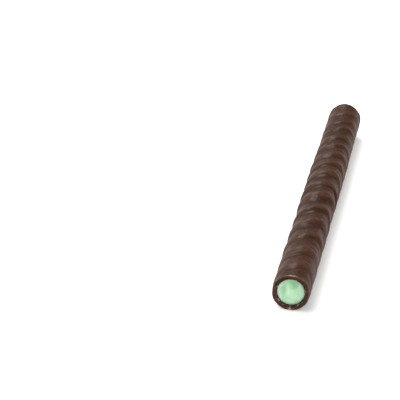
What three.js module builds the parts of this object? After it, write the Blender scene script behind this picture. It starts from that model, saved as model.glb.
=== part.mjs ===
// Chocolate mint straw: a thin dark chocolate tube, rippled on the outside where the coating set as it
// flowed, and filled from end to end with pale green mint fondant. Both ends are cut a little out of square,
// and parallel. The fondant has drawn back a little inside each cut, and its face bulges softly.
//
// Millimetres, +Z up. The straw lies along Y, with the cut end that is seen first at -Y. The origin is
// under the middle of the straw, on the flat that it rests on.
import * as THREE from "three";

// Driving dimensions
const LENGTH = 105;
const DIAMETER = 8.6;
const WALL = 1.12;
const FOOT_WIDTH = 1.6; // flat strip along the underside
const CUT_LEAN = 0.05; // how far both cuts lean towards +Y for each millimetre of height
const EDGE_ROUND = 0.22; // soft outer corner at each cut
const BORE_CHAMFER = 0.12; // broken inner corner at each cut
const RECESS = 0.5; // how far the fondant's rim lies inside the cut
const CROWN = 0.35; // how far its middle bulges out again
const SKIN_GAP = 0.05; // between fondant and chocolate, where the two solids face each other

// Dents in the fondant's face, where the blade dragged through. Their places count from the middle of the
// face, as it is seen from outside, with x to the right and z up.
const DENTS = [
  { x: -1.6, z: 0.5, wide: 0.6, tall: 1.4, depth: 0.12 },
  { x: 0.85, z: 1.7, wide: 0.95, tall: 0.9, depth: 0.12 },
  { x: -0.3, z: 2.4, wide: 1.2, tall: 0.6, depth: 0.06 },
];

// Relief of the outside
const WAVE_HEIGHT = 0.25; // main ripples, from their mean to a crest, where they are highest
const WAVE_LEAN = 0.55; // how much steeper they rise on the -Y side of each crest than on the other
const WAVE_NEAR = 8.6; // spacing of the main ripples at the -Y end
const WAVE_FAR = 5; // and at the +Y end
const BOW = 12.7; // how far the ripples bow along the straw
const BOW_ANGLE = Math.PI / 4; // where round the straw they reach farthest towards +Y
const RIPPLE_HEIGHT = 0.028; // finer ripples between the main ones, from their mean to a crest
const RIPPLE_SPACING = 3.1;
const SWELL = 0.05; // slow change of thickness along the straw
const SWELL_SPACING = 52;
const CALMEST = 0.25; // share of the main ripples' height that is left at the straw's ends
const LIVELIEST_PLACE = 42; // where along the straw, from the -Y end, they are highest
const LIVELY_REACH = 30; // and how far from there they die away

// Fineness of the mesh
const ROUND_STEPS = 38; // faces round the outside, the foot not counted
const OUTSIDE_STEP = 0.95; // length of one face along the straw
const FACE_RINGS = 6;

const RADIUS = DIAMETER / 2;
const BORE_RADIUS = RADIUS - WALL;
const FOOT_ANGLE = Math.asin(FOOT_WIDTH / 2 / RADIUS); // half of the angle that the foot takes up
const AXIS_HEIGHT = RADIUS * Math.cos(FOOT_ANGLE);
const DOWN = -Math.PI / 2;
const FADE_ANGLE = 0.5; // the ripples die away over this angle above the foot

// The angles at which the surface is sampled: an even spread above the foot, from one edge of the foot to
// the other, and one more in the middle of the foot.
const ANGLES = Array.from(
  { length: ROUND_STEPS + 1 },
  (_, i) => DOWN + FOOT_ANGLE + (i / ROUND_STEPS) * 2 * (Math.PI - FOOT_ANGLE),
).concat(DOWN + 2 * Math.PI);

const smooth = (t) => {
  const c = Math.min(1, Math.max(0, t));
  return c * c * (3 - 2 * c);
};

// Number of main ripples between the -Y end and a point, when their spacing changes evenly on the way.
function ripplesBefore(fromEnd) {
  const growth = (WAVE_FAR - WAVE_NEAR) / LENGTH;
  return Math.log(1 + (growth * fromEnd) / WAVE_NEAR) / growth;
}

// Where along the straw a point lies, counted along the ripples. They bow towards +Y, more steeply on the
// +X side than on the other.
function bowedPlace(angle, fromEnd) {
  const fromBow = angle - BOW_ANGLE;
  const steepness = 0.7 - 0.3 * Math.sin(fromBow);
  return fromEnd + BOW * (1 - Math.exp(Math.cos(fromBow) - 1)) * steepness;
}

// Height of the relief above the mean surface. The main ripples rise steeply and fall gently towards +Y,
// and they stand highest on top of the straw, a little before its middle. Slow waves of no exact period
// shift them, bend the fine ones and make both uneven.
function relief(angle, y) {
  const fromEnd = y + LENGTH / 2;
  const bowed = bowedPlace(angle, fromEnd);
  const sway = 0.5 * Math.cos((bowed - 14) / 11.1) - 0.45 * Math.cos((bowed - 35) / 2.16);
  const wander = 0.3 * Math.sin(2 * angle + fromEnd / 8.5) + sway;
  const phase = 2 * Math.PI * ripplesBefore(bowed) + wander;
  const wave = Math.cos(phase + WAVE_LEAN * Math.cos(phase));
  const patchy = 0.2 * Math.sin(fromEnd / 3.7 + 3 * angle);
  const strength = 0.75 + 0.25 * Math.sin(angle - 0.5) + patchy;
  const lively = Math.exp(-(((fromEnd - LIVELIEST_PLACE) / LIVELY_REACH) ** 2));
  const calm = CALMEST + (1 - CALMEST) * lively;
  const stray = 1.3 * Math.sin(fromEnd / 7.1 + 2 * angle);
  const fine = Math.sin((2 * Math.PI * bowed) / RIPPLE_SPACING + stray);
  const fineHeight = RIPPLE_HEIGHT * (0.6 + 0.4 * Math.sin(angle));
  const swell = SWELL * Math.sin((2 * Math.PI * fromEnd) / SWELL_SPACING + 0.6 * Math.sin(angle));
  return calm * WAVE_HEIGHT * strength * wave + fineHeight * fine + swell;
}

// How much of the relief is left at an angle: none on the foot, all of it higher up.
function aboveFoot(angle) {
  const fromDown = Math.abs(((angle - DOWN + Math.PI) % (2 * Math.PI)) - Math.PI);
  return smooth((fromDown - FOOT_ANGLE) / FADE_ANGLE);
}

// A point at an angle and a distance from the straw's axis, on a slice that leans like the cuts. On the
// outside the foot cuts it off flat.
function pointAt(angle, radius, y, onFoot) {
  const above = radius * Math.sin(angle);
  const z = AXIS_HEIGHT + above;
  return [radius * Math.cos(angle), y + CUT_LEAN * above, onFoot ? Math.max(0, z) : z];
}

// One ring of points, all on the same slice of the straw.
function ring(y, radiusAt, onFoot = false) {
  return ANGLES.map((angle) => pointAt(angle, radiusAt(angle), y, onFoot));
}

// Joins each ring to the next one with two triangles a step. The rings' order makes the faces point out.
function skin(rings, closed) {
  const around = ANGLES.length;
  const faces = [];
  const pairs = closed ? rings.length : rings.length - 1;
  for (let r = 0; r < pairs; r += 1) {
    const here = r * around;
    const next = ((r + 1) % rings.length) * around;
    for (let i = 0; i < around; i += 1) {
      const j = (i + 1) % around;
      faces.push(here + i, next + i, here + j);
      faces.push(here + j, next + i, next + j);
    }
  }
  return faces;
}

// Fans a ring to one point, which closes the end at the given side, -1 or 1.
function fan(start, centre, side) {
  const around = ANGLES.length;
  const faces = [];
  for (let i = 0; i < around; i += 1) {
    const j = (i + 1) % around;
    faces.push(centre, ...(side < 0 ? [start + i, start + j] : [start + j, start + i]));
  }
  return faces;
}

function solid(points, faces) {
  const geometry = new THREE.BufferGeometry();
  geometry.setAttribute("position", new THREE.Float32BufferAttribute(points.flat(), 3));
  geometry.setIndex(faces);
  geometry.computeVertexNormals();
  return geometry;
}

// The tube: rings along the rippled outside from -Y to +Y, over the soft corner, across the cut, and back
// along the bore to the start.
function shellGeometry() {
  const end = LENGTH / 2;
  const outside = (y, inset) =>
    ring(y, (angle) => RADIUS - inset + relief(angle, y) * aboveFoot(angle), true);
  const bore = (y, extra) => ring(y, () => BORE_RADIUS + extra);
  const corner = [0, 1, 2].map((k) => (k * Math.PI) / 4).map((turn) => ({
    back: EDGE_ROUND * (1 - Math.sin(turn)),
    inset: EDGE_ROUND * (1 - Math.cos(turn)),
  }));
  const steps = Math.round((LENGTH - 2 * EDGE_ROUND) / OUTSIDE_STEP);
  const rings = [];
  for (const { back, inset } of [...corner].reverse()) rings.push(outside(-end + back, inset));
  for (let k = 1; k < steps; k += 1) {
    rings.push(outside(-end + EDGE_ROUND + (k / steps) * (LENGTH - 2 * EDGE_ROUND), 0));
  }
  for (const { back, inset } of corner) rings.push(outside(end - back, inset));
  rings.push(bore(end, BORE_CHAMFER), bore(end - BORE_CHAMFER, 0));
  rings.push(bore(-end + BORE_CHAMFER, 0), bore(-end, BORE_CHAMFER));
  return solid(rings.flat(), skin(rings, true));
}

// How deep the fondant's face lies inside the cut at a point of it, x to the right and z up from its
// middle, as it is seen from outside.
function faceDepth(x, z) {
  const share = Math.hypot(x, z) / (BORE_RADIUS - SKIN_GAP);
  const dented = DENTS.map((dent) => {
    const across = ((x - dent.x) / dent.wide) ** 2 + ((z - dent.z) / dent.tall) ** 2;
    return dent.depth * Math.exp(-across);
  }).reduce((sum, depth) => sum + depth, 0);
  const fromRim = smooth((1 - share) / 0.1); // the dents end at the rim
  return RECESS - CROWN * (1 - share ** 4) + dented * fromRim;
}

// The fondant: a rod that fills the bore, with a softly bulging face at each end.
function fillingGeometry() {
  const radius = BORE_RADIUS - SKIN_GAP;
  const end = LENGTH / 2;
  const placeOnFace = (x, z, side) => side * (end - faceDepth(-side * x, z));
  const faceRing = (share, side) =>
    ANGLES.map((angle) => {
      const x = radius * share * Math.cos(angle);
      const z = radius * share * Math.sin(angle);
      return [x, placeOnFace(x, z, side) + CUT_LEAN * z, AXIS_HEIGHT + z];
    });
  const shares = Array.from({ length: FACE_RINGS }, (_, k) => (k + 1) / FACE_RINGS);
  const rings = [
    ...shares.map((share) => faceRing(share, -1)),
    ...[...shares].reverse().map((share) => faceRing(share, 1)),
  ];
  const points = rings.flat();
  const near = points.length;
  points.push([0, placeOnFace(0, 0, -1), AXIS_HEIGHT], [0, placeOnFace(0, 0, 1), AXIS_HEIGHT]);
  const lastRing = (rings.length - 1) * ANGLES.length;
  const faces = [...skin(rings, false), ...fan(0, near, -1), ...fan(lastRing, near + 1, 1)];
  return solid(points, faces);
}

// Dark chocolate, satin, set without a mould.
function chocolateShell() {
  const material = new THREE.MeshStandardMaterial({ color: 0x4a3129, roughness: 0.45, metalness: 0 });
  const mesh = new THREE.Mesh(shellGeometry(), material);
  mesh.name = "chocolate_shell";
  return mesh;
}

// Pale green mint fondant.
function mintFilling() {
  const material = new THREE.MeshStandardMaterial({ color: 0xb0dcb4, roughness: 0.4, metalness: 0 });
  const mesh = new THREE.Mesh(fillingGeometry(), material);
  mesh.name = "mint_filling";
  return mesh;
}

const straw = new THREE.Group();
straw.name = "chocolate_mint_straw";
straw.add(chocolateShell(), mintFilling());

export default straw;
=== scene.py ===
import math

import bmesh
import bpy
import numpy as np
from mathutils import Matrix, Vector, noise


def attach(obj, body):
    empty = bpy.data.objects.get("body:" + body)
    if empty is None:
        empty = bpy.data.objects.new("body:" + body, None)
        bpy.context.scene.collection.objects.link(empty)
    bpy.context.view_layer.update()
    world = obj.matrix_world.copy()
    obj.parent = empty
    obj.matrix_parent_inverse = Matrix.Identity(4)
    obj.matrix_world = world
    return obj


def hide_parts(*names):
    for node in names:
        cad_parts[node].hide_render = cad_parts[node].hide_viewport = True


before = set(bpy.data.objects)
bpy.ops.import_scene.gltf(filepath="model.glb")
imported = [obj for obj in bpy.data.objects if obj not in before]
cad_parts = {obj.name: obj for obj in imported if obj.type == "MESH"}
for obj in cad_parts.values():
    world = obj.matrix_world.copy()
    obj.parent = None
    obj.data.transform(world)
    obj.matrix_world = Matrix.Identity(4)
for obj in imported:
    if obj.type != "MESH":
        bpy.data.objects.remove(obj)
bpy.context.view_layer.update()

# Camera
# It stands in front of the straw's near cut, a little to the right, and looks down on it. The long lens
# hardly narrows the straw towards its far end.
MM = 0.001
CAMERA_PLACE = Vector((45.7, -447.9, 209.64)) * MM
CAMERA_TURN_DEG = 9.61
CAMERA_DOWN_DEG = 24.75
CAMERA_ROLL_DEG = 1.86
SENSOR_WIDTH = 36
FOCAL_LENGTH = 179.7
NEAREST_SEEN = 0.01


def in_scene(name, data):
    """A new object of the scene. It stands at the origin, unturned, until it is moved."""
    placed = bpy.data.objects.new(name, data)
    bpy.context.scene.collection.objects.link(placed)
    return placed


camera_data = bpy.data.cameras.new("camera")
camera_data.sensor_width = SENSOR_WIDTH
camera_data.lens = FOCAL_LENGTH
camera_data.clip_start = NEAREST_SEEN
camera = in_scene("camera", camera_data)
camera.matrix_world = (
    Matrix.Translation(CAMERA_PLACE)
    @ Matrix.Rotation(math.radians(CAMERA_TURN_DEG), 4, "Z")
    @ Matrix.Rotation(math.radians(90 - CAMERA_DOWN_DEG), 4, "X")
    @ Matrix.Rotation(math.radians(CAMERA_ROLL_DEG), 4, "Z")
)
bpy.context.scene.camera = camera

# Floor
# A wide sheet of matt white board, which the light washes out to plain white. A little light comes
# through it from below, as on a light table, and softens the shadow.
FLOOR_REACH = 3
BOARD_WHITE = (0.68, 0.68, 0.68, 1)
GLOW_WHITE = (1, 1, 1, 1)
GLOW_STRENGTH = 0.24


def new_material(name):
    """A material, its node tree and its shader."""
    material = bpy.data.materials.new(name)
    material.use_nodes = True
    return material, material.node_tree, material.node_tree.nodes["Principled BSDF"]


def set_sockets(node, values):
    for name, value in values.items():
        node.inputs[name].default_value = value


floor_mesh = bpy.data.meshes.new("floor")
bm = bmesh.new()
bmesh.ops.create_grid(bm, x_segments=1, y_segments=1, size=FLOOR_REACH)
bm.to_mesh(floor_mesh)
bm.free()
floor = in_scene("floor", floor_mesh)
white_board, tree, shader = new_material("white_board")
set_sockets(
    shader,
    {
        "Base Color": BOARD_WHITE,
        "Roughness": 1,
        "Specular IOR Level": 0,
        "Emission Color": GLOW_WHITE,
        "Emission Strength": GLOW_STRENGTH,
    },
)
floor_mesh.materials.append(white_board)

# Studio light
# A wide soft light hangs high on the straw's left and floods the board, which throws much of it back up.
# A second one fills in from the right, and a small one behind the straw draws the broken line of glints
# along its top. Low white walls stand round the board, with a dim gap between them and the pale ceiling.
WARM_WHITE = (1, 0.975, 0.95)
WARMER_WHITE = (1, 0.95, 0.90)
WALL_WHITE = (1.0, 1.0, 1.0)
GAP_GREY = (0.05, 0.05, 0.05)
CEILING_WHITE = (1.0, 1.0, 1.0)


def studio_light(name, direction, width_deg, energy, colour):
    """A lamp in a direction from the straw, and as wide as it looks from there."""
    data = bpy.data.lights.new(name, "SUN")
    data.angle = math.radians(width_deg)
    data.energy = energy
    data.color = colour
    light = in_scene(name, data)
    light.rotation_mode = "QUATERNION"
    light.rotation_quaternion = (-Vector(direction)).to_track_quat("-Z", "Y")


def colour_ramp(tree, value, stops):
    """Colours that follow a value from 0 to 1 and blend between the stops, each a place and a colour."""
    ramp = tree.nodes.new("ShaderNodeValToRGB")
    elements = ramp.color_ramp.elements
    while len(elements) < len(stops):
        elements.new(0.5)
    for element, (place, colour) in zip(elements, stops):
        element.position = place
        element.color = (*colour, 1)
    tree.links.new(value, ramp.inputs["Fac"])
    return ramp.outputs["Color"]


studio_light("key", (-0.82, 0.35, 0.74), 80, 4.6, WARMER_WHITE)
studio_light("fill", (0.95, 0.0, 0.02), 30, 5.8, WARM_WHITE)
studio_light("back_light", (-0.15, 0.70, 0.67), 25, 1.8, WARM_WHITE)
world = bpy.data.worlds.new("studio")
bpy.context.scene.world = world
world.use_nodes = True
tree = world.node_tree
direction = tree.nodes.new("ShaderNodeTexCoord")
height = tree.nodes.new("ShaderNodeSeparateXYZ")
tree.links.new(direction.outputs["Generated"], height.inputs["Vector"])
room = colour_ramp(
    tree,
    height.outputs["Z"],
    [(0.06, WALL_WHITE), (0.18, GAP_GREY), (0.42, GAP_GREY), (0.65, CEILING_WHITE)],
)
background = tree.nodes["Background"]
tree.links.new(room, background.inputs["Color"])
background.inputs["Strength"].default_value = 1
bpy.context.scene.view_settings.view_transform = "Standard"
bpy.context.scene.view_settings.look = "None"

# Chocolate tube
# Dark chocolate that flowed round the filling and set without a mould, in low cross ripples, with painted
# highlight on the ridges and painted shade in the hollows. It lies on the narrow flat that it set on. A
# knife cut both ends a little out of square, scuffed the edge and smeared some fondant over the inside of
# the cut.
# The top of the edge also carries a painted highlight.
LENGTH = 105.0
RADIUS = 4.3
BORE_RADIUS = 3.18
FOOT_WIDTH = 1.6
FOOT_ANGLE = math.asin(FOOT_WIDTH / 2 / RADIUS)
AXIS_HEIGHT = RADIUS * math.cos(FOOT_ANGLE)
DOWN = -math.pi / 2
FADE_ANGLE = 0.5  # the ripples die away over this angle above the foot
CUT_LEAN = 0.05
EDGE_ROUND = 0.22
BORE_CHAMFER = 0.12
WAVE_HEIGHT = 0.25  # main ripples, from their mean to a crest, where they are highest
WAVE_LEAN = 0.55  # how much steeper they rise on the near side of each crest
WAVE_NEAR = 8.6  # their spacing at the near end
WAVE_FAR = 5.0  # and at the far end
BOW = 12.7  # how far they bow along the straw
BOW_ANGLE = math.radians(45)  # where round the straw they reach farthest
CALMEST = 0.25  # share of their height that is left at the straw's ends
LIVELIEST_PLACE = 42  # where along the straw they are highest
LIVELY_REACH = 30
RIPPLE_HEIGHT = 0.028  # finer ripples between the main ones
RIPPLE_SPACING = 3.1
SWELL = 0.05  # slow change of thickness along the straw
SWELL_SPACING = 52.0
WRINKLE_HEIGHT = 0.10
WRINKLE_WIDTH = 0.8
WRINKLE_LENGTH = 3.0
GRAIN_HEIGHT = 0.036
GRAIN_WIDTH = 0.5
GRAIN_LENGTH = 1.8
CUT_ROUGHNESS = 0.05
CHIP_SIZE = 0.35
SCUFF_SIZE = 0.5
SMEAR_SIZE = 0.6
FULL_HOLLOW = 0.2  # depth below the mean that counts as a full hollow
AROUND = 160
ALONG = 480
DARKER_BROWN = (0.0356, 0.0147, 0.0086)
BROWN = (0.0362, 0.0167, 0.0102)
LIGHTER_BROWN = (0.0370, 0.0190, 0.0125)
CUT_BROWN = (0.040, 0.018, 0.0115)
LIGHTER_CUT_BROWN = (0.070, 0.036, 0.0255)
SCUFF_AND_HIGHLIGHT_TAN = (0.38, 0.255, 0.20, 1)
SMEAR_GREEN = (0.40, 0.47, 0.35, 1)


def smooth(t):
    c = np.clip(t, 0, 1)
    return c * c * (3 - 2 * c)


def bump_field(points, seed):
    """Smooth random heights, about -1 to 1, for points whose spacing is the size of a bump."""
    shift = Vector((seed * 17.3, seed * 5.1, seed * 9.7))
    return np.array([noise.noise(Vector(point) + shift) for point in points])


def ripples_before(from_end):
    """Number of main ripples up to a place, when their spacing changes evenly on the way."""
    growth = (WAVE_FAR - WAVE_NEAR) / LENGTH
    return np.log(1 + growth * from_end / WAVE_NEAR) / growth


def bowed_place(angle, from_end):
    """Where along the straw a point lies, counted along the ripples, which bow towards the far end."""
    from_bow = angle - BOW_ANGLE
    return from_end + BOW * (1 - np.exp(np.cos(from_bow) - 1)) * (0.7 - 0.3 * np.sin(from_bow))


def relief(angle, y):
    """Height of the ripples. Slow waves of no exact period shift them and make them uneven."""
    from_end = y + LENGTH / 2
    bowed = bowed_place(angle, from_end)
    sway = 0.5 * np.cos((bowed - 14) / 11.1) - 0.45 * np.cos((bowed - 35) / 2.16)
    wander = 0.3 * np.sin(2 * angle + from_end / 8.5) + sway
    phase = 2 * math.pi * ripples_before(bowed) + wander
    wave = np.cos(phase + WAVE_LEAN * np.cos(phase))
    strength = 0.75 + 0.25 * np.sin(angle - 0.5) + 0.2 * np.sin(from_end / 3.7 + 3 * angle)
    lively = np.exp(-(((from_end - LIVELIEST_PLACE) / LIVELY_REACH) ** 2))
    calm = CALMEST + (1 - CALMEST) * lively
    stray = 1.3 * np.sin(from_end / 7.1 + 2 * angle)
    fine = np.sin(2 * math.pi * bowed / RIPPLE_SPACING + stray) * (0.6 + 0.4 * np.sin(angle))
    swell = SWELL * np.sin(2 * math.pi * from_end / SWELL_SPACING + 0.6 * np.sin(angle))
    return calm * WAVE_HEIGHT * strength * wave + RIPPLE_HEIGHT * fine + swell


def above_foot(angle):
    """How much of the relief is left at an angle: none on the foot, all of it higher up."""
    from_down = np.abs((angle - DOWN + math.pi) % (2 * math.pi) - math.pi)
    return smooth((from_down - FOOT_ANGLE) / FADE_ANGLE)


def tube_section():
    """The wall's outline below the axis, as distances along the straw and from its axis."""
    end = LENGTH / 2
    corner = [
        (end - EDGE_ROUND * (1 - math.sin(turn)), RADIUS - EDGE_ROUND * (1 - math.cos(turn)))
        for turn in np.linspace(0, math.pi / 2, 7)
    ]
    cut = [
        (end, r) for r in np.linspace(RADIUS - EDGE_ROUND, BORE_RADIUS + BORE_CHAMFER, 9)[1:]
    ]
    bore = [(end - BORE_CHAMFER, BORE_RADIUS), (end - 1.5, BORE_RADIUS)]
    far = corner + cut + bore
    near = [(-y, r) for y, r in reversed(far)]
    outside = [
        (y, RADIUS) for y in np.linspace(-end + EDGE_ROUND, end - EDGE_ROUND, ALONG + 1)[1:-1]
    ]
    return near + outside + far


def turned_mesh(name, outline, steps, closed):
    """A mesh turned round the straw's axis from an outline, which is closed or ends on the axis."""
    mesh = bpy.data.meshes.new(name)
    bm = bmesh.new()
    section = [bm.verts.new((0, y, AXIS_HEIGHT - r)) for y, r in outline]
    next_ones = section[1:] + section[:1] if closed else section[1:]
    edges = [bm.edges.new(pair) for pair in zip(section, next_ones)]
    bmesh.ops.spin(
        bm,
        geom=section + edges,
        cent=(0, 0, AXIS_HEIGHT),
        axis=(0, 1, 0),
        angle=2 * math.pi,
        steps=steps,
        use_merge=True,
    )
    bmesh.ops.remove_doubles(bm, verts=bm.verts, dist=1e-4)
    bmesh.ops.recalc_face_normals(bm, faces=bm.faces)
    bm.to_mesh(mesh)
    bm.free()
    return mesh


def vertex_places(mesh):
    places = np.empty(len(mesh.vertices) * 3)
    mesh.vertices.foreach_get("co", places)
    return places.reshape(-1, 3)


def shade_smooth(mesh):
    for face in mesh.polygons:
        face.use_smooth = True


def write_marks(mesh, marks):
    """Gives each vertex its values, under the names by which the material reads them."""
    for name, values in marks.items():
        layer = mesh.attributes.new(name, "FLOAT", "POINT")
        layer.data.foreach_set("value", values.astype(np.float32))


tube_mesh = turned_mesh("chocolate_tube", tube_section(), AROUND, closed=True)
places = vertex_places(tube_mesh)
x, y, z = places.T
z = z - AXIS_HEIGHT
radius = np.hypot(x, z)
angle = (np.arctan2(z, x) - DOWN) % (2 * math.pi) + DOWN
share = np.clip((radius - BORE_RADIUS) / (RADIUS - BORE_RADIUS), 0, 1)
from_cut = LENGTH / 2 - np.abs(y)
bowed = bowed_place(angle, y + LENGTH / 2)

# Wrinkles run round the straw like the ripples. They are calmer by the cuts and on the flanks.
wrinkle = bump_field(
    np.stack([bowed / WRINKLE_WIDTH, x / WRINKLE_LENGTH, z / WRINKLE_LENGTH], 1), 1
)
calm_by_cut = 0.5 + 0.5 * smooth(from_cut / 20)
busier_far_end = 1 + 0.3 * smooth(y / 40)
calm_flanks = 0.55 + 0.45 * np.sin(angle)
wrinkle *= calm_by_cut * busier_far_end * calm_flanks
grain = bump_field(np.stack([bowed / GRAIN_WIDTH, x / GRAIN_LENGTH, z / GRAIN_LENGTH], 1), 2)
ripples = relief(angle, y)
skin = ripples + WRINKLE_HEIGHT * wrinkle + GRAIN_HEIGHT * grain

# The cut is chipped and rough, most of all towards the bore.
chips = bump_field(np.stack([np.sign(y) * 9, x / CHIP_SIZE, z / CHIP_SIZE], 1), 3)
at_cut = smooth(1 - from_cut / 0.3)
radius = radius + share * skin * above_foot(angle)
radius = radius + CUT_ROUGHNESS * at_cut * chips * (1 - 0.6 * share)
places[:, 0] = radius * np.cos(angle)
leaning = y + CUT_LEAN * radius * np.sin(angle)
places[:, 1] = leaning - np.sign(y) * CUT_ROUGHNESS * at_cut * np.abs(chips)
places[:, 2] = np.maximum(AXIS_HEIGHT + radius * np.sin(angle), 0)
tube_mesh.vertices.foreach_set("co", (places * MM).ravel())
shade_smooth(tube_mesh)

# The fresh cut is lighter than the skin, and painted lighter still low down, as if lit from the board
# below.
# A pale scuffed line follows its outer edge, with a painted highlight where it is brightest on top, and a
# little fondant is smeared here and there by the bore.
cut_tone_and_painted_bounce = smooth(1 - (from_cut - 0.02) / 0.12) * smooth((RADIUS - 0.1 - radius) / 0.15)
# Painted light: the cut keeps its lighter tone low down, as if lit from below, and turns darker on top.
cut_tone_and_painted_bounce *= 1 - 0.8 * smooth((np.sin(angle) - 0.1) / 0.7)
scuffs = bump_field(np.stack([np.sign(y) * 5, x / SCUFF_SIZE, z / SCUFF_SIZE], 1), 4)
edge = np.exp(-(((from_cut - 0.07) / 0.08) ** 2)) * smooth((radius - RADIUS + 0.5) / 0.3)
# Painted highlight: the scuffed line grows brightest at the top of the edge.
painted_highlight_on_top = 0.2 + 0.8 * np.exp(-(((angle - math.radians(89)) / 0.22) ** 2))
scuff_and_painted_highlight = np.clip(edge * painted_highlight_on_top * (0.9 + 1.4 * scuffs), 0, 1)
smears = bump_field(np.stack([np.sign(y) * 11, x / SMEAR_SIZE, z / SMEAR_SIZE], 1), 7)
by_bore = smooth((BORE_RADIUS + 0.24 - radius) / 0.12) * smooth(1 - from_cut / 0.15)
smeared = 0.8 * by_bore * smooth((smears - 0.2) / 0.2)

# Painted highlight on the ridges and painted shade in the hollows, both plainer on the flanks.
plain_flanks = 0.35 + 0.65 * np.sin(angle)
raised = (ripples + 0.5 * WRINKLE_HEIGHT * wrinkle) * plain_flanks
ridge_light_hollow_shade = np.clip(0.5 - raised / (2 * FULL_HOLLOW), 0, 1)
write_marks(
    tube_mesh, {"cut_tone_and_painted_bounce": cut_tone_and_painted_bounce, "scuff_and_painted_highlight": scuff_and_painted_highlight, "smeared": smeared, "ridge_light_hollow_shade": ridge_light_hollow_shade}
)
tube_mesh.update()
tube = in_scene("chocolate_tube", tube_mesh)


def object_coordinates(tree):
    return tree.nodes.new("ShaderNodeTexCoord").outputs["Object"]


def noise_texture(tree, vector, size_mm, detail):
    texture = tree.nodes.new("ShaderNodeTexNoise")
    set_sockets(texture, {"Scale": 1 / (size_mm * MM), "Detail": detail, "Roughness": 0.5})
    tree.links.new(vector, texture.inputs["Vector"])
    return texture.outputs["Fac"]


def mixed(tree, share, first, second, blend="MIX"):
    """One colour laid over another. Each of the three values is a number, a colour or a node's output."""
    mix = tree.nodes.new("ShaderNodeMix")
    mix.data_type = "RGBA"
    mix.blend_type = blend
    factor, colour_a, colour_b = (mix.inputs[index] for index in (0, 6, 7))
    for socket, value in ((factor, share), (colour_a, first), (colour_b, second)):
        if isinstance(value, bpy.types.NodeSocket):
            tree.links.new(value, socket)
        else:
            socket.default_value = value
    return mix.outputs[2]


def ranged(tree, value, spread, result):
    """A value that runs through one range, brought to another."""
    map_range = tree.nodes.new("ShaderNodeMapRange")
    tree.links.new(value, map_range.inputs["Value"])
    set_sockets(map_range, {"From Min": spread[0], "From Max": spread[1]})
    set_sockets(map_range, {"To Min": result[0], "To Max": result[1]})
    return map_range.outputs["Result"]


def own_attribute(tree, name):
    attribute = tree.nodes.new("ShaderNodeAttribute")
    attribute.attribute_name = name
    return attribute.outputs["Fac"]


def dimpled(tree, heights, strength, depth_mm):
    """Normals that tilt as if the surface went up and down with the heights."""
    bump = tree.nodes.new("ShaderNodeBump")
    set_sockets(bump, {"Strength": strength, "Distance": depth_mm * MM})
    tree.links.new(heights, bump.inputs["Height"])
    return bump.outputs["Normal"]


chocolate, tree, shader = new_material("dark_chocolate")
set_sockets(
    shader,
    {
        "Specular IOR Level": 0.017,
        "Coat Weight": 0.11,
        "Coat Roughness": 0.19,
        "Coat IOR": 1.3,
    },
)
coordinates = object_coordinates(tree)
patches = noise_texture(tree, coordinates, 1.8, 3)
specks = noise_texture(tree, coordinates, 0.5, 3)
pores = noise_texture(tree, coordinates, 0.28, 2)
body_colour = colour_ramp(
    tree, patches, [(0.36, DARKER_BROWN), (0.50, BROWN), (0.64, LIGHTER_BROWN)]
)
speck_tint = colour_ramp(tree, specks, [(0.34, (0.76, 0.72, 0.69)), (0.66, (1.24, 1.27, 1.29))])
# Painted highlight on the ridges and painted shade in the hollows.
painted_light_shade_tint = colour_ramp(
    tree,
    own_attribute(tree, "ridge_light_hollow_shade"),
    [(0.15, (1.20, 1.22, 1.24)), (0.45, (1.0, 1.0, 1.0)), (0.75, (0.68, 0.64, 0.61))],
)
speckled = mixed(tree, 1.0, body_colour, speck_tint, "MULTIPLY")
skin_colour = mixed(tree, 1.0, speckled, painted_light_shade_tint, "MULTIPLY")
cut_colour = colour_ramp(tree, specks, [(0.35, CUT_BROWN), (0.65, LIGHTER_CUT_BROWN)])
# The cut's tone, painted lighter low down as if lit from below.
with_cut = mixed(tree, own_attribute(tree, "cut_tone_and_painted_bounce"), skin_colour, cut_colour)
# Pale scuffs, with a painted highlight along the top of the edge.
with_scuffs_and_highlight = mixed(tree, own_attribute(tree, "scuff_and_painted_highlight"), with_cut, SCUFF_AND_HIGHLIGHT_TAN)
with_smears = mixed(tree, own_attribute(tree, "smeared"), with_scuffs_and_highlight, SMEAR_GREEN)
tree.links.new(with_smears, shader.inputs["Base Color"])
tree.links.new(ranged(tree, patches, (0.35, 0.65), (0.41, 0.57)), shader.inputs["Roughness"])
tree.links.new(dimpled(tree, pores, 0.6, 0.02), shader.inputs["Normal"])
tube_mesh.materials.append(chocolate)
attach(tube, "root")
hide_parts("chocolate_shell")

# Mint filling
# Pale green fondant that fills the tube from end to end. It has drawn back a little from each cut, and
# its face bulges softly inside the rim, with dents and fine lines where the knife dragged through it.
FILLING_RADIUS = BORE_RADIUS - 0.02
RECESS = 0.5
CROWN = 0.35
DEEPEST_DENT = 0.12
DENTS = [
    {"x": -1.6, "z": 0.5, "wide": 0.6, "tall": 1.4, "depth": DEEPEST_DENT},
    {"x": 0.85, "z": 1.7, "wide": 0.95, "tall": 0.9, "depth": DEEPEST_DENT},
    {"x": -0.3, "z": 2.4, "wide": 1.2, "tall": 0.6, "depth": 0.06},
]
LUMP_HEIGHT = 0.03
LUMP_SIZE = 0.8
DRAG_HEIGHT = 0.01  # fine lines that the knife left
DRAG_WIDTH = 0.16
DRAG_LENGTH = 1.6
FACE_RINGS = 44
FILLING_STEPS = 128
GREEN = (0.385, 0.655, 0.42)
LIGHTER_GREEN = (0.47, 0.725, 0.49)
DENT_SHADE_GREEN = (0.22, 0.49, 0.26, 1)
HIGHLIGHT_GREEN = (0.66, 0.86, 0.73, 1)

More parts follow.
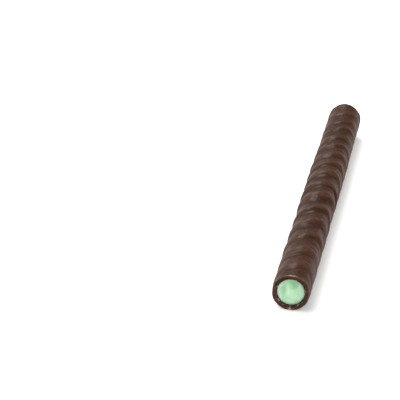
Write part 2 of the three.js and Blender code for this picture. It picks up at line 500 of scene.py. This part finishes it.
shares = np.linspace(0, 1, FACE_RINGS + 1)[1:]
reach = LENGTH / 2 - RECESS
near_end = [(-reach, s * FILLING_RADIUS) for s in shares]
far_end = [(reach, s * FILLING_RADIUS) for s in reversed(shares)]
rod = [(-reach, 0)] + near_end + far_end + [(reach, 0)]
filling_mesh = turned_mesh("mint_filling_rod", rod, FILLING_STEPS, closed=False)
places = vertex_places(filling_mesh)
x, y, z = places.T
z = z - AXIS_HEIGHT
share = np.hypot(x, z) / FILLING_RADIUS
side = np.sign(y)
across = -side * x
dented = np.zeros(len(x))
for dent in DENTS:
    reach_x = (across - dent["x"]) / dent["wide"]
    reach_z = (z - dent["z"]) / dent["tall"]
    dented += dent["depth"] * np.exp(-(reach_x**2) - reach_z**2)
lumps = bump_field(np.stack([side * 3, x / LUMP_SIZE, z / LUMP_SIZE], 1), 5)
drag = bump_field(np.stack([side * 7, x / DRAG_WIDTH, z / DRAG_LENGTH], 1), 6)
face_height = CROWN * (1 - share**4) - dented + LUMP_HEIGHT * lumps + DRAG_HEIGHT * drag
places[:, 1] = y + CUT_LEAN * z + side * face_height * smooth((1 - share) / 0.03)
filling_mesh.vertices.foreach_set("co", (places * MM).ravel())
shade_smooth(filling_mesh)

# Painted highlight makes the fondant pale along the rim, most of all on the left, and in a streak left of
# the middle. Painted shade makes it deeper green in the dents, a little less so in those on the left.
rim_highlight = smooth((share - 0.72) / 0.2) * np.exp(-(((across + 2.9) / 1.3) ** 2))
highlight_streak = np.exp(-(((across + 0.56 + 0.12 * z) / 0.25) ** 2) - ((z - 0.4) / 0.8) ** 2)
painted_highlight = np.clip(rim_highlight + 0.35 * highlight_streak + 0.25 * smooth((share - 0.9) / 0.08), 0, 1)
faint_on_left = 1 - 0.15 * smooth(0.5 - across)
painted_dent_shade = np.clip(dented / DEEPEST_DENT, 0, 1) * faint_on_left
write_marks(filling_mesh, {"painted_highlight": painted_highlight, "painted_dent_shade": painted_dent_shade})
filling_mesh.update()
filling = in_scene("mint_filling_rod", filling_mesh)

fondant, tree, shader = new_material("mint_fondant")
set_sockets(
    shader,
    {
        "Subsurface Weight": 0.4,
        "Subsurface Scale": 0.8 * MM,
        "Subsurface Radius": (0.8, 1.0, 0.8),
    },
)
coordinates = object_coordinates(tree)
clouds = noise_texture(tree, coordinates, 1.1, 3)
sugar = noise_texture(tree, coordinates, 0.22, 2)
green = colour_ramp(tree, clouds, [(0.35, GREEN), (0.65, LIGHTER_GREEN)])
# Painted shade deepens the green in the dents.
with_dent_shade = mixed(tree, own_attribute(tree, "painted_dent_shade"), green, DENT_SHADE_GREEN)
# Painted highlight makes the rim and a streak left of the middle pale.
with_highlight = mixed(tree, own_attribute(tree, "painted_highlight"), with_dent_shade, HIGHLIGHT_GREEN)
tree.links.new(with_highlight, shader.inputs["Base Color"])
tree.links.new(ranged(tree, clouds, (0.3, 0.7), (0.38, 0.55)), shader.inputs["Roughness"])
tree.links.new(dimpled(tree, sugar, 0.5, 0.02), shader.inputs["Normal"])
filling_mesh.materials.append(fondant)
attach(filling, "root")
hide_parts("mint_filling")

# Crumbs at the cuts
# Bits of dark chocolate that the knife broke off the rim and that stuck to the cut: one larger chip at
# the bottom of each rim, and some tiny ones round it. They are paler where they broke.
CRUMBS = [
    {"angle": -90, "out": 3.80, "size": 0.3},
    {"angle": -99, "out": 3.62, "size": 0.09},
    {"angle": -76, "out": 3.80, "size": 0.10},
    {"angle": -118, "out": 3.35, "size": 0.09},
    {"angle": -61, "out": 3.40, "size": 0.10},
    {"angle": -38, "out": 3.42, "size": 0.09},
    {"angle": 12, "out": 3.40, "size": 0.11},
    {"angle": 41, "out": 3.35, "size": 0.08},
    {"angle": 168, "out": 3.90, "size": 0.07},
    {"angle": -150, "out": 3.45, "size": 0.09},
]
PROUD_SHARE = 0.3  # how far a crumb's middle stands out of the cut, as a share of its size
crumb_mesh = bpy.data.meshes.new("cut_crumbs")
bm = bmesh.new()
for side in (-1, 1):
    for crumb in CRUMBS:
        turn = math.radians(crumb["angle"])
        above = crumb["out"] * math.sin(turn)
        centre = Vector(
            (
                -side * crumb["out"] * math.cos(turn),
                side * (LENGTH / 2 + PROUD_SHARE * crumb["size"]) + CUT_LEAN * above,
                AXIS_HEIGHT + above,
            )
        )
        made = bmesh.ops.create_icosphere(bm, subdivisions=3, radius=1)
        for vertex in made["verts"]:
            ridge = noise.noise(vertex.co * 1.3 + centre * 7)
            fleck = noise.noise(vertex.co * 3.1 + centre * 5)
            shape = vertex.co * (1 + 0.55 * ridge + 0.2 * fleck)
            stretched = Vector((1.15 * shape.x, 0.7 * shape.y, 0.75 * shape.z))
            vertex.co = (centre + crumb["size"] * stretched) * MM
            vertex.co.z = max(vertex.co.z, 0)
bmesh.ops.recalc_face_normals(bm, faces=bm.faces)
bm.to_mesh(crumb_mesh)
bm.free()
shade_smooth(crumb_mesh)
write_marks(crumb_mesh, {"scuff_and_painted_highlight": np.ones(len(crumb_mesh.vertices))})
crumb_mesh.materials.append(chocolate)
crumbs = in_scene("cut_crumbs", crumb_mesh)
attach(crumbs, "root")
